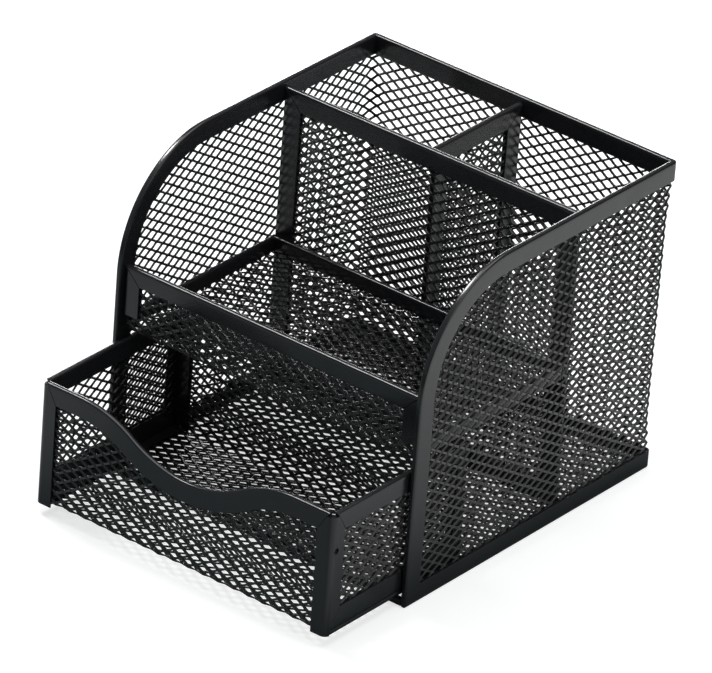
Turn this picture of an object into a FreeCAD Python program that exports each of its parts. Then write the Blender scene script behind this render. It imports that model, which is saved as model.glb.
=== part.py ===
import FreeCAD, Part
import os
import re

import Sketcher
from FreeCAD import Placement, Rotation, Vector

# A desk pen stand of expanded-metal mesh with a drawer under its front tray. Every mesh panel is a thin sheet
# whose edges sit in folded channel strips. Its openings are diamonds, fewer and larger than the real ones.
#
# Frame: millimetres, +Z up, the front towards -Y. The origin lies on the desk, at the middle of the box that
# holds the housing and the drawer as it stands pulled out.

doc = FreeCAD.newDocument("PenStandWithDrawer")
sizes = doc.addObject("Spreadsheet::Sheet", "Sizes")

SIZES = [
    ("width", 140, "housing, over the side strips"),
    ("depth", 144, "housing, front strips to back strip"),
    ("height", 127, "housing, desk to top strip"),
    ("front_curve_radius", 46, "side panels' upper front corner"),
    ("corner_radius", 1.7, "housing's rear upright corners, outside"),
    ("strip_thickness", 2.2, "over the two walls of a channel strip"),
    ("strip_wall", 0.6, "one wall of a channel strip"),
    ("strip_width", 8, "face of the rim strips"),
    ("base_strip_width", 7.2, "face of the housing's bottom strip"),
    ("edge_radius", 0.7, "rounding along a strip's folded edge"),
    ("mesh_thickness", 0.9, "expanded sheet"),
    ("bar_width", 3.2, "mesh left between two of its openings"),
    ("bend_radius", 3, "outside of an open bend in a mesh sheet"),
    ("fold_radius", 1.2, "outside of a tight bend in a mesh sheet"),
    ("floor_height", 4.2, "desk to the top of the floor mesh"),
    ("sill_height", 2.9, "front sill under the drawer"),
    ("divider_depth", 90, "front edge to the middle of the long divider"),
    ("divider_drop", 2, "housing's rim down to the top of both dividers"),
    ("shelf_height", 58, "desk to the top of the tray's mesh floor"),
    ("shelf_edge_height", 6.2, "tray floor to the top of its side strips"),
    ("shelf_strip_width", 5.8, "face of the tray's side and rear strips"),
    ("lip_height", 84.4, "desk to the top of the tray's front lip"),
    ("lip_setback", 2.3, "front edge to the face of the lip"),
    ("lip_strip_width", 7, "face of the lip's strips"),
    ("drawer_height", 50, "drawer, over its rims"),
    ("drawer_length", 78, "drawer, front to back"),
    ("drawer_pull", 42, "how far the drawer stands out"),
    ("drawer_side_gap", 0.5, "drawer to the housing's strips, each side"),
    ("drawer_lift", 0.3, "running clearance over the floor mesh"),
    ("post_width", 7, "each leg of the drawer's corner posts"),
    ("post_radius", 2.5, "outer edge of those posts"),
    ("post_drop", 1.6, "drawer's rims down to the top of those posts"),
    ("runner_width", 6, "flat strips under the drawer's sides"),
    ("dip_depth", 14.4, "finger dip in the drawer's front rim"),
    ("dip_half_width", 50, "middle of the dip to where the rim is level"),
    ("rivet_hole_radius", 1.2, "small hole in the front right post"),
    ("rivet_hole_height", 34.4, "drawer's underside to that hole"),
    ("rivet_hole_setback", 2.8, "drawer's face to that hole"),
]

for row, (alias, millimetres, meaning) in enumerate(SIZES, start=1):
    sizes.set(f"A{row}", meaning)
    sizes.set(f"B{row}", str(millimetres))
    sizes.setAlias(f"B{row}", alias)
doc.recompute()

ALIASES = {alias for alias, _, _ in SIZES}

# Places that several pieces share, as expressions in the sheet's names.
FRONT = "((drawer_pull - depth) / 2)"
INNER = "(width / 2 - strip_thickness)"
INNER_BACK = "(depth - strip_thickness)"
SLOT = "(strip_thickness - 2 * strip_wall)"
MESH_INSET = "((strip_thickness - mesh_thickness) / 2)"
DIVIDER_TOP = "(height - divider_drop)"
DIVIDER_FRONT = "(divider_depth - strip_thickness / 2)"
DIVIDER_BACK = "(divider_depth + strip_thickness / 2)"
SHELF_TOP = "(shelf_height + shelf_edge_height)"
SHELF_BACK = f"({DIVIDER_FRONT} - strip_thickness)"
LIP_BEND_END = f"(lip_setback + {MESH_INSET} + bend_radius)"
DRAWER_FRONT = f"({FRONT} - drawer_pull)"
DRAWER_FOOT = "(floor_height + drawer_lift)"
DRAWER_HALF = f"({INNER} - drawer_side_gap)"
DRAWER_INNER = f"({DRAWER_HALF} - strip_thickness)"
DIP_RADIUS = "((dip_half_width ^ 2 + dip_depth ^ 2) / (4 * dip_depth))"

ALONG_X, ALONG_Y, ALONG_Z = Vector(1, 0, 0), Vector(0, 1, 0), Vector(0, 0, 1)


def cells(text):
    """The expression with each size's name pointed at its cell in the sheet."""
    return re.sub(r"[a-z_]+", lambda word: ("Sizes." if word.group() in ALIASES else "") + word.group(), text)


def value(text):
    """What the expression comes to, in millimetres."""
    return float(sizes.evalExpression(cells(text)))


def drive(thing, prop, text):
    """Bind one property of a document object to an expression in the sheet's names."""
    thing.setExpression(prop, cells(text))


def place(thing, across, back, up, turn=Rotation()):
    """Put an object at a point of the shared frame, given as three expressions."""
    thing.Placement = Placement(Vector(), turn)
    for axis, text in zip("xyz", (across, back, up)):
        drive(thing, f"Placement.Base.{axis}", text)


def new_body(name):
    body = doc.addObject("PartDesign::Body", name)
    body.Label = name
    return body


def arc_between(start, end, radius, turn):
    """The shorter arc from start to end, turning left or right, as an arc that runs counterclockwise."""
    middle = (start + end) / 2
    chord = end - start
    left = Vector(-chord.y, chord.x, 0).normalize()
    reach = max(radius**2 - (chord.Length / 2) ** 2, 0) ** 0.5
    centre = middle + left * (reach if turn == "left" else -reach)
    first, last = (start, end) if turn == "left" else (end, start)
    circle = Part.Circle(centre, ALONG_Z, radius)
    return Part.ArcOfCircle(circle, circle.parameter(first), circle.parameter(last))


def pin_point(sketch, edge, end, across, up):
    """Hold one end of an edge at two driven distances from the sketch's origin."""
    for kind, axis, text in (("DistanceX", -2, across), ("DistanceY", -1, up)):
        if text == "0":
            sketch.addConstraint(Sketcher.Constraint("PointOnObject", edge, end, axis))
        else:
            index = sketch.addConstraint(Sketcher.Constraint(kind, -1, 1, edge, end, value(text)))
            drive(sketch, f"Constraints[{index}]", text)


def outline(body, plane, points, offset="0"):
    """A closed sketch on one of the body's origin planes, through driven points.

    A point is (across, up), or (across, up, radius, turn) where the stretch that leaves it is an arc.
    """
    sketch = body.newObject("Sketcher::SketchObject", f"{body.Name}_outline")
    origin_plane = next(part for part in body.Origin.OriginFeatures if part.Role == plane)
    sketch.AttachmentSupport = (origin_plane, [""])
    sketch.MapMode = "FlatFace"
    drive(sketch, "AttachmentOffset.Base.z", offset)
    spots = [Vector(value(point[0]), value(point[1]), 0) for point in points]
    ends = []
    for point, start, end in zip(points, spots, spots[1:] + spots[:1]):
        if len(point) == 2:
            edge = sketch.addGeometry(Part.LineSegment(start, end), False)
            ends.append((edge, 1, 2))
        else:
            radius, turn = point[2:]
            edge = sketch.addGeometry(arc_between(start, end, value(radius), turn), False)
            ends.append((edge, 1, 2) if turn == "left" else (edge, 2, 1))
    for (before, _, tail), (after, head, _) in zip(ends[-1:] + ends[:-1], ends):
        sketch.addConstraint(Sketcher.Constraint("Coincident", before, tail, after, head))
    for point, (edge, head, _) in zip(points, ends):
        pin_point(sketch, edge, head, point[0], point[1])
        if len(point) == 4:
            index = sketch.addConstraint(Sketcher.Constraint("Radius", edge, value(point[2])))
            drive(sketch, f"Constraints[{index}]", point[2])
    return sketch


def pad(body, sketch, length, both_ways=False):
    feature = body.newObject("PartDesign::Pad", f"{body.Name}_pad")
    feature.Profile = sketch
    feature.SideType = "Symmetric" if both_ways else "One side"
    drive(feature, "Length", length)
    return feature


def cut(body, sketch, length="4 * width", both_ways=True, along_normal=False):
    """Pocket the sketch out of the body, and make sure that something was taken away."""
    doc.recompute()
    before = body.Shape.Volume
    feature = body.newObject("PartDesign::Pocket", f"{body.Name}_pocket")
    feature.Profile = sketch
    feature.SideType = "Symmetric" if both_ways else "One side"
    feature.Reversed = along_normal
    drive(feature, "Length", length)
    doc.recompute()
    if body.Shape.Volume >= before:
        raise RuntimeError(f"{feature.Name} cuts nothing")


def round_edges(body, feature, wanted):
    """Fillet the edges of a feature that the test picks, as a folded strip's edges are."""
    doc.recompute()
    names = [f"Edge{index}" for index, edge in enumerate(feature.Shape.Edges, start=1) if wanted(edge)]
    fillet = body.newObject("PartDesign::Fillet", f"{body.Name}_fold")
    fillet.Base = (feature, names)
    drive(fillet, "Radius", "edge_radius")


def runs_through(edge, direction):
    """Whether an edge is straight and parallel to a direction."""
    tangents = [edge.tangentAt(parameter) for parameter in edge.ParameterRange]
    return all(abs(tangent.dot(direction)) > 0.999 for tangent in tangents)


def edge_points(edge):
    first, last = edge.ParameterRange
    return [edge.valueAt(first + (last - first) * share) for share in (0, 0.5, 1)]


def strip(name, along, outward, centre, length, width, start_cut="0", end_cut="0"):
    """A straight channel strip, folded round the edge of a sheet.

    Its folded edge faces outward and lies at the given point; start_cut and end_cut are how much shorter the
    open side is at each end, as a mitre leaves it.
    """
    body = new_body(name)
    half = f"({length}) / 2"
    face = outline(body, "XZ_Plane", [
        (f"-{half}", "0"),
        (half, "0"),
        (f"{half} - ({end_cut})", f"-({width})"),
        (f"-{half} + ({start_cut})", f"-({width})"),
    ])
    blank = pad(body, face, "strip_thickness", both_ways=True)
    round_edges(body, blank, lambda edge: runs_through(edge, ALONG_X) and abs(edge_points(edge)[1].z) < 1e-6)
    slot = outline(body, "XZ_Plane", [
        (f"-{half} - strip_width", "-strip_wall"),
        (f"{half} + strip_width", "-strip_wall"),
        (f"{half} + strip_width", f"-({width}) - strip_wall"),
        (f"-{half} - strip_width", f"-({width}) - strip_wall"),
    ])
    cut(body, slot, "strip_thickness - 2 * strip_wall")
    place(body, *centre, Rotation(along, outward.cross(along), outward, "XZY"))


def open_mesh(body, plane, low, high, across, up, offset="0", depth="4 * width"):
    """Cut staggered diamonds through a sheet, so many across and so many up a window on a plane of the body.

    The window runs from its low to its high corner, and the bars between the diamonds are bar_width wide.
    """
    wide, tall = f"(({high[0]} - ({low[0]})) / {across})", f"(({high[1]} - ({low[1]})) / {up})"
    share = f"(1 - bar_width * sqrt(1 / {wide} ^ 2 + 1 / {tall} ^ 2)) / 2"
    for columns, rows, start in ((across, up, 0.5), (across - 1, up - 1, 1)):
        middle, level = f"{low[0]} + {start} * {wide}", f"{low[1]} + {start} * {tall}"
        diamond = outline(body, plane, [
            (f"{middle} + {share} * {wide}", level),
            (middle, f"{level} + {share} * {tall}"),
            (f"{middle} - {share} * {wide}", level),
            (middle, f"{level} - {share} * {tall}"),
        ], offset=offset)
        cut(body, diamond, depth)
        pattern = body.newObject("PartDesign::LinearPattern", f"{body.Name}_openings")
        pattern.Originals = [body.Tip]
        pattern.Direction, pattern.Direction2 = (diamond, ["H_Axis"]), (diamond, ["V_Axis"])
        pattern.Occurrences, pattern.Occurrences2 = columns, rows
        drive(pattern, "Length", f"{columns - 1} * {wide}")
        drive(pattern, "Length2", f"{rows - 1} * {tall}")
        body.Tip = pattern


def flat_mesh(name, plane, low, high, window, counts, middle):
    """A flat panel of mesh in an upright plane: its corners, its window's corners and its openings' counts."""
    body = new_body(name)
    face = outline(body, plane, [low, (high[0], low[1]), high, (low[0], high[1])])
    pad(body, face, "mesh_thickness", both_ways=True)
    open_mesh(body, plane, *window, *counts)
    place(body, *middle)


def sheet_fold(body, plane, left, right, base, up, left_end, right_end, left_radius, right_radius,
               offset, length):
    """Add a trough of mesh sheet to a body: a level stretch with both its edges bent to one side.

    The outside of the trough runs from left to right at the base; up is 1 where its edges rise to their ends
    and -1 where they hang down. The trough is drawn on the plane, offset from it to the middle of its length.
    """
    open_turn, shut_turn = ("left", "right") if up == 1 else ("right", "left")

    def rise(distance):
        return f"{base} + {up} * ({distance})"

    section = outline(body, plane, [
        (left, rise(left_radius), left_radius, open_turn),
        (f"{left} + {left_radius}", base),
        (f"{right} - {right_radius}", base, right_radius, open_turn),
        (right, rise(right_radius)),
        (right, right_end),
        (f"{right} - mesh_thickness", right_end),
        (f"{right} - mesh_thickness", rise(right_radius), f"{right_radius} - mesh_thickness", shut_turn),
        (f"{right} - {right_radius}", rise("mesh_thickness")),
        (f"{left} + {left_radius}", rise("mesh_thickness"), f"{left_radius} - mesh_thickness", shut_turn),
        (f"{left} + mesh_thickness", rise(left_radius)),
        (f"{left} + mesh_thickness", left_end),
        (left, left_end),
    ], offset=offset)
    pad(body, section, length, both_ways=True)


# ---- Housing: the shell's mesh, wrapped round the left side, the back and the right side ----

def wrapped_wall(name, edge, face, thickness, foot, top):
    """A wall along the left side, across the back and along the right side.

    It starts the edge distance behind the housing's front and stands the face distance inside its outline.
    Its inner corners are square where the wall is thicker than its outer corner is round.
    """
    body = new_body(name)
    side, back, turn = f"width / 2 - {face}", f"depth - {face}", f"corner_radius - {face}"
    inner_side, inner_back = f"{side} - {thickness}", f"{back} - {thickness}"
    inner_turn = f"{turn} - {thickness}"
    if value(inner_turn) > 0:
        inner_corners = [
            (f"-({inner_side})", "depth - corner_radius", inner_turn, "right"),
            ("corner_radius - width / 2", inner_back),
            ("width / 2 - corner_radius", inner_back, inner_turn, "right"),
            (inner_side, "depth - corner_radius"),
        ]
    else:
        inner_corners = [(f"-({inner_side})", inner_back), (inner_side, inner_back)]
    plan = outline(body, "XY_Plane", [
        (side, edge),
        (side, "depth - corner_radius", turn, "left"),
        ("width / 2 - corner_radius", back),
        ("corner_radius - width / 2", back, turn, "left"),
        (f"-({side})", "depth - corner_radius"),
        (f"-({side})", edge),
        (f"-({inner_side})", edge),
        *inner_corners,
        (inner_side, edge),
    ], offset=foot)
    pad(body, plan, f"{top} - ({foot})")
    place(body, "0", FRONT, "0")
    return body


def cut_front_curve(body, edge):
    """Take the upper front corners off a wrapped wall, by the quarter circle less the edge distance."""
    corner = outline(body, "YZ_Plane", [
        (edge, "height - front_curve_radius", f"front_curve_radius - {edge}", "right"),
        ("front_curve_radius", f"height - {edge}"),
        ("front_curve_radius", "2 * height"),
        ("-depth", "2 * height"),
        ("-depth", "height - front_curve_radius"),
    ])
    cut(body, corner)


def wrapped_sheet(name, face, thickness):
    """A wrapped wall as deep and high as the sheet that the shell's strips grip."""
    return wrapped_wall(name, "strip_wall", face, thickness, "strip_wall", "(height - strip_wall)")


shell_mesh = wrapped_sheet("shell_mesh", MESH_INSET, "mesh_thickness")
CORNER_BAR = "(strip_thickness + bar_width)"
open_mesh(shell_mesh, "YZ_Plane", ("strip_width", "base_strip_width"),
          (f"depth - {CORNER_BAR}", "height - strip_width"), across=5, up=7)
# The sheet has no openings where the rim strip grips the quarter curves.
for sign in (-1, 1):
    gripped = outline(shell_mesh, "YZ_Plane", [
        ("strip_wall", "height - front_curve_radius", "front_curve_radius - strip_wall", "right"),
        ("front_curve_radius", "height - strip_wall"),
        ("front_curve_radius", "height - strip_width", "front_curve_radius - strip_width", "left"),
        ("strip_width", "height - front_curve_radius"),
    ], offset=f"{sign} * (width - strip_thickness) / 2")
    pad(shell_mesh, gripped, "mesh_thickness", both_ways=True)
cut_front_curve(shell_mesh, "strip_wall")
open_mesh(shell_mesh, "XZ_Plane", (f"{CORNER_BAR} - width / 2", "base_strip_width"),
          (f"width / 2 - {CORNER_BAR}", "height - strip_width"), across=5, up=7)


# ---- Housing: the strips folded over the shell's edges ----

def on_rim_line(point):
    """Whether a point lies on the outline of the side panels and the back: front, quarter circle or top."""
    radius, top = value("front_curve_radius"), value("height")
    if point.z < top - radius:
        return abs(point.y) < 1e-4
    if point.y < radius:
        return abs(((point.y - radius) ** 2 + (point.z - top + radius) ** 2) ** 0.5 - radius) < 1e-4
    return abs(point.z - top) < 1e-4


def on_floor_line(point):
    return abs(point.z) < 1e-6


def fold_along(body, on_line):
    """Round the edges of the body's last feature that follow a line, but not the ends across the wall."""
    doc.recompute()
    limit = value("strip_thickness") + 1e-3
    round_edges(body, body.Tip, lambda edge: all(on_line(point) for point in edge_points(edge))
                and not (runs_through(edge, ALONG_X) and edge.Length < limit))


def channel(name, blank):
    """The blank less the room for the shell's sheet."""
    room = wrapped_sheet(f"{name}_room", "strip_wall", SLOT)
    cut_front_curve(room, "strip_wall")
    grip = doc.addObject("Part::Cut", name)
    grip.Base = blank
    grip.Tool = room
    grip.Label = name


rim_blank = wrapped_wall("shell_rim_blank", "0", "0", "strip_thickness", "0", "height")
cut_front_curve(rim_blank, "0")
fold_along(rim_blank, on_rim_line)
cut(rim_blank, outline(rim_blank, "YZ_Plane", [
    ("0", "0"),
    ("strip_width", "base_strip_width"),
    ("strip_width", "height - front_curve_radius", "front_curve_radius - strip_width", "right"),
    ("front_curve_radius", "height - strip_width"),
    ("2 * depth", "height - strip_width"),
    ("2 * depth", "-height"),
    ("0", "-height"),
]))
channel("shell_rim_strip", rim_blank)

base_blank = wrapped_wall("shell_base_blank", "0", "0", "strip_thickness", "0", "base_strip_width")
fold_along(base_blank, on_floor_line)
cut(base_blank, outline(base_blank, "YZ_Plane", [
    ("0", "0"),
    ("strip_width", "base_strip_width"),
    ("strip_width", "2 * base_strip_width"),
    ("-depth", "2 * base_strip_width"),
    ("-depth", "0"),
]))
channel("shell_base_strip", base_blank)


# ---- Housing: the floor's mesh, its edges turned down inside the base strips, and the sill in front ----

floor_mesh = new_body("floor_mesh")
FLOOR_MIDDLE = f"(({MESH_INSET} + {INNER_BACK}) / 2)"
FLANGE_LENGTH = f"({INNER_BACK} - fold_radius - strip_thickness)"
sheet_fold(floor_mesh, "YZ_Plane", MESH_INSET, INNER_BACK, "floor_height", -1, MESH_INSET, MESH_INSET,
           "fold_radius", "fold_radius", offset="0", length=f"2 * ({INNER} - fold_radius)")
sheet_fold(floor_mesh, "XZ_Plane", f"-{INNER}", INNER, "floor_height", -1, MESH_INSET, MESH_INSET,
           "fold_radius", "fold_radius", offset=f"-(strip_thickness + {FLANGE_LENGTH} / 2)",
           length=FLANGE_LENGTH)
open_mesh(floor_mesh, "XY_Plane", (f"fold_radius - {INNER}", f"{MESH_INSET} + fold_radius"),
          (f"{INNER} - fold_radius", f"{INNER_BACK} - fold_radius"), across=5, up=8)
place(floor_mesh, "0", FRONT, "0")

strip("front_sill_strip", ALONG_X, -ALONG_Z, ("0", f"{FRONT} + strip_thickness / 2", "0"), f"2 * {INNER}",
      "sill_height")


# ---- Housing: the long divider and the cross divider behind it ----

def divider_frame(name, plane, level, uprights, middle, span, across):
    """A flat divider: its mesh, and strips along its top, its foot and its two upright edges."""
    half = f"({span}) / 2"
    flat_mesh(f"{name}_mesh", plane,
              (f"strip_wall - {half}", "floor_height + strip_wall"),
              (f"{half} - strip_wall", f"{DIVIDER_TOP} - strip_wall"),
              ((f"strip_width - {half}", "floor_height + base_strip_width"),
               (f"{half} - strip_width", f"{DIVIDER_TOP} - strip_width")),
              (across, 7), (*middle, "0"))
    rise = f"({DIVIDER_TOP} - floor_height)"
    half_height = f"({DIVIDER_TOP} + floor_height) / 2"
    strip(f"{name}_top_strip", level, ALONG_Z, (*middle, DIVIDER_TOP), span, "strip_width",
          "strip_width", "strip_width")
    strip(f"{name}_foot_strip", level, -ALONG_Z, (*middle, "floor_height"), span, "base_strip_width",
          "strip_width", "strip_width")
    for side, outward, place_across, place_back in uprights:
        strip(f"{name}_{side}_strip", ALONG_Z, outward, (place_across, place_back, half_height), rise,
              "strip_width", "base_strip_width", "strip_width")


DIVIDER_MIDDLE = f"({FRONT} + divider_depth)"
divider_frame("divider", "XZ_Plane", ALONG_X,
              [("left", -ALONG_X, f"-{INNER}", DIVIDER_MIDDLE), ("right", ALONG_X, INNER, DIVIDER_MIDDLE)],
              ("0", DIVIDER_MIDDLE), f"2 * {INNER}", across=5)

CROSS_SPAN = f"({INNER_BACK} - {DIVIDER_BACK})"
CROSS_MIDDLE = f"({FRONT} + ({INNER_BACK} + {DIVIDER_BACK}) / 2)"
divider_frame("cross_divider", "YZ_Plane", ALONG_Y,
              [("front", -ALONG_Y, "0", f"{FRONT} + {DIVIDER_BACK}"),
               ("rear", ALONG_Y, "0", f"{FRONT} + {INNER_BACK}")],
              ("0", CROSS_MIDDLE), CROSS_SPAN, across=2)


# ---- Housing: the tray over the drawer, one bent mesh sheet with a lip in front ----

shelf_mesh = new_body("shelf_mesh")
SHELF_SIDE = f"({INNER} - {MESH_INSET})"
SHELF_UNDERSIDE = "(shelf_height - mesh_thickness)"
SHELF_EDGE = f"({SHELF_TOP} - {MESH_INSET})"
SHELF_FLANGE_LENGTH = f"({SHELF_BACK} - {LIP_BEND_END})"
sheet_fold(shelf_mesh, "YZ_Plane", f"(lip_setback + {MESH_INSET})", f"({DIVIDER_FRONT} - {MESH_INSET})",
           SHELF_UNDERSIDE, 1, f"lip_height - {MESH_INSET}", SHELF_EDGE, "bend_radius", "fold_radius",
           offset="0", length=f"2 * ({SHELF_SIDE} - fold_radius)")
sheet_fold(shelf_mesh, "XZ_Plane", f"-{SHELF_SIDE}", SHELF_SIDE, SHELF_UNDERSIDE, 1, SHELF_EDGE, SHELF_EDGE,
           "fold_radius", "fold_radius", offset=f"-({SHELF_BACK} + {LIP_BEND_END}) / 2",
           length=SHELF_FLANGE_LENGTH)
open_mesh(shelf_mesh, "XY_Plane", (f"fold_radius - {SHELF_SIDE}", LIP_BEND_END),
          (f"{SHELF_SIDE} - fold_radius", f"{DIVIDER_FRONT} - {MESH_INSET} - fold_radius"), across=5, up=5)
open_mesh(shelf_mesh, "XZ_Plane", (f"lip_strip_width - {INNER}", f"{SHELF_UNDERSIDE} + bend_radius"),
          (f"{INNER} - lip_strip_width", "lip_height - lip_strip_width"), across=6, up=2,
          offset="-(lip_setback + strip_thickness / 2)", depth="strip_thickness")
place(shelf_mesh, "0", FRONT, "0")

LIP_MIDDLE = f"({FRONT} + lip_setback + strip_thickness / 2)"
SHELF_SIDE_MIDDLE = f"({FRONT} + ({SHELF_BACK} + {LIP_BEND_END}) / 2)"
strip("shelf_lip_strip", ALONG_X, ALONG_Z, ("0", LIP_MIDDLE, "lip_height"), f"2 * {INNER}", "lip_strip_width",
      "lip_strip_width", "lip_strip_width")
strip("shelf_rear_strip", ALONG_X, ALONG_Z, ("0", f"{FRONT} + {SHELF_BACK} + strip_thickness / 2", SHELF_TOP),
      f"2 * {INNER}", "shelf_strip_width")
for side, sign in (("left", -1), ("right", 1)):
    strip(f"shelf_lip_{side}_strip", ALONG_Z, sign * ALONG_X,
          (f"{sign} * {INNER}", LIP_MIDDLE, f"(lip_height + {SHELF_TOP}) / 2"),
          f"lip_height - {SHELF_TOP}", "lip_strip_width", "0", "lip_strip_width")
    strip(f"shelf_{side}_strip", ALONG_Y, ALONG_Z,
          (f"{sign} * ({INNER} - strip_thickness / 2)", SHELF_SIDE_MIDDLE, SHELF_TOP),
          SHELF_FLANGE_LENGTH, "shelf_strip_width")


# ---- Drawer: one mesh sheet for the front, floor and rear, with a finger dip in the front ----

def dip_line(lowered, half, direction):
    """The front rim's line in a front view: level, down into the dip and up again by arcs that meet smoothly.

    It is lowered below the rim and ends at the half-width on each side; direction is 1 for left to right.
    """
    lowered = f"({lowered})"
    shoulder = f"drawer_height - {lowered}"
    flank = f"dip_half_width / 2 * (1 + {lowered} / {DIP_RADIUS})"
    flank_height = f"drawer_height - dip_depth / 2 - {lowered} * (1 - dip_depth / 2 / {DIP_RADIUS})"
    crest, trough = f"{DIP_RADIUS} - {lowered}", f"{DIP_RADIUS} + {lowered}"
    over, under = ("right", "left") if direction == 1 else ("left", "right")
    return [
        (f"{-direction} * ({half})", shoulder),
        (f"{-direction} * dip_half_width", shoulder, crest, over),
        (f"{-direction} * {flank}", flank_height, trough, under),
        (f"{direction} * {flank}", flank_height, crest, over),
        (f"{direction} * dip_half_width", shoulder),
        (f"{direction} * ({half})", shoulder),
    ]


def in_drawer(body):
    place(body, "0", DRAWER_FRONT, DRAWER_FOOT)


drawer_tray_mesh = new_body("drawer_tray_mesh")
sheet_fold(drawer_tray_mesh, "YZ_Plane", MESH_INSET, f"(drawer_length - {MESH_INSET})", MESH_INSET, 1,
           f"drawer_height - {MESH_INSET}", f"drawer_height - {MESH_INSET}", "bend_radius", "bend_radius",
           offset="0", length=f"2 * {DRAWER_INNER}")
TRAY_BEND_END = f"({MESH_INSET} + bend_radius)"
POST_INSIDE = f"({DRAWER_HALF} - post_width)"
open_mesh(drawer_tray_mesh, "XY_Plane", (f"-{POST_INSIDE}", TRAY_BEND_END),
          (POST_INSIDE, f"drawer_length - {TRAY_BEND_END}"), across=5, up=5)
open_mesh(drawer_tray_mesh, "XZ_Plane", (f"-{POST_INSIDE}", TRAY_BEND_END),
          (POST_INSIDE, "drawer_height - strip_width"), across=5, up=3)
# The front has none where its rim strip grips it.
gripped = outline(drawer_tray_mesh, "XZ_Plane", dip_line(MESH_INSET, POST_INSIDE, 1)
                  + dip_line("strip_width", POST_INSIDE, -1), offset="-strip_thickness / 2")
pad(drawer_tray_mesh, gripped, "mesh_thickness", both_ways=True)
above_dip = outline(drawer_tray_mesh, "XZ_Plane", [
    *dip_line(MESH_INSET, "dip_half_width + strip_width", 1)[1:-1],
    ("dip_half_width", "2 * drawer_height"),
    ("-dip_half_width", "2 * drawer_height"),
])
cut(drawer_tray_mesh, above_dip, "2 * bend_radius")
in_drawer(drawer_tray_mesh)

front_rim = new_body("drawer_front_rim_strip")
MITRE = "(post_width - strip_thickness)"
rim_face = outline(front_rim, "XZ_Plane", dip_line("0", DRAWER_INNER, 1)
                   + dip_line("strip_width", f"{DRAWER_INNER} - {MITRE}", -1), offset="-strip_thickness / 2")
pad(front_rim, rim_face, "strip_thickness", both_ways=True)


def on_dip_line(point):
    """Whether a point lies on the front rim's upper line."""
    top, radius = value("drawer_height"), value(DIP_RADIUS)
    crest, half = value("dip_half_width"), abs(point.x)
    if half > crest:
        return abs(point.z - top) < 1e-4
    if half > crest / 2:
        return abs(((half - crest) ** 2 + (point.z - top + radius) ** 2) ** 0.5 - radius) < 1e-4
    bottom = top - value("dip_depth")
    return abs((half**2 + (point.z - bottom - radius) ** 2) ** 0.5 - radius) < 1e-4


round_edges(front_rim, front_rim.Tip, lambda edge: not runs_through(edge, ALONG_Y)
            and all(on_dip_line(point) for point in edge_points(edge)))
rim_room = outline(front_rim, "XZ_Plane", dip_line("strip_wall", "width / 2", 1)
                   + dip_line("strip_width + strip_wall", "width / 2", -1), offset="-strip_thickness / 2")
cut(front_rim, rim_room, SLOT)
in_drawer(front_rim)


# ---- Drawer: the corner posts, folded round the upright edges of two sheets each ----

def corner_post(name, side, end):
    """A post in one corner; side is -1 on the left and 1 on the right, end is 1 in front and -1 at the rear."""
    body = new_body(name)
    face = "0" if end == 1 else "drawer_length"

    def across(inward):
        return f"{side} * ({DRAWER_HALF} - {inward})"

    def back(inward):
        return f"{face} + {end} * ({inward})" if (end, inward) != (1, "0") else "0"

    turn = "left" if side * end == 1 else "right"
    plan = outline(body, "XY_Plane", [
        (across("post_radius"), back("0"), "post_radius", turn),
        (across("0"), back("post_radius")),
        (across("0"), back("post_width")),
        (across("strip_thickness"), back("post_width")),
        (across("strip_thickness"), back("strip_thickness")),
        (across("post_width"), back("strip_thickness")),
        (across("post_width"), back("0")),
    ])
    pad(body, plan, "drawer_height - post_drop")
    mitre_top = "drawer_height - strip_width"
    cut(body, outline(body, "XZ_Plane", [
        (across("strip_thickness"), "drawer_height"),
        (across("post_width"), mitre_top),
        (across("2 * post_width"), mitre_top),
        (across("2 * post_width"), "2 * drawer_height"),
        (across("strip_thickness"), "2 * drawer_height"),
    ]))
    cut(body, outline(body, "YZ_Plane", [
        (back("strip_thickness"), "drawer_height"),
        (back("post_width"), mitre_top),
        (back("2 * post_width"), mitre_top),
        (back("2 * post_width"), "2 * drawer_height"),
        (back("strip_thickness"), "2 * drawer_height"),
    ]))
    cut(body, outline(body, "YZ_Plane", [
        (back("strip_thickness"), "strip_thickness"),
        (back("post_width"), "strip_thickness + strip_width"),
        (back("2 * post_width"), "strip_thickness + strip_width"),
        (back("2 * post_width"), "-strip_width"),
        (back("strip_thickness"), "-strip_width"),
    ]))
    cut(body, outline(body, "XY_Plane", [
        (across("strip_thickness"), back("strip_wall")),
        (across("strip_thickness"), back("strip_thickness - strip_wall")),
        (across("2 * post_width"), back("strip_thickness - strip_wall")),
        (across("2 * post_width"), back("strip_wall")),
    ]))
    cut(body, outline(body, "XY_Plane", [
        (across("strip_wall"), back("strip_thickness")),
        (across("strip_thickness - strip_wall"), back("strip_thickness")),
        (across("strip_thickness - strip_wall"), back("2 * post_width")),
        (across("strip_wall"), back("2 * post_width")),
    ]))
    cut(body, outline(body, "XY_Plane", [
        (across("strip_thickness"), back("strip_wall")),
        (across("strip_thickness"), back("2 * strip_thickness")),
        (across("2 * post_width"), back("2 * strip_thickness")),
        (across("2 * post_width"), back("strip_wall")),
    ]), TRAY_BEND_END, both_ways=False, along_normal=True)
    in_drawer(body)
    return body


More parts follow.
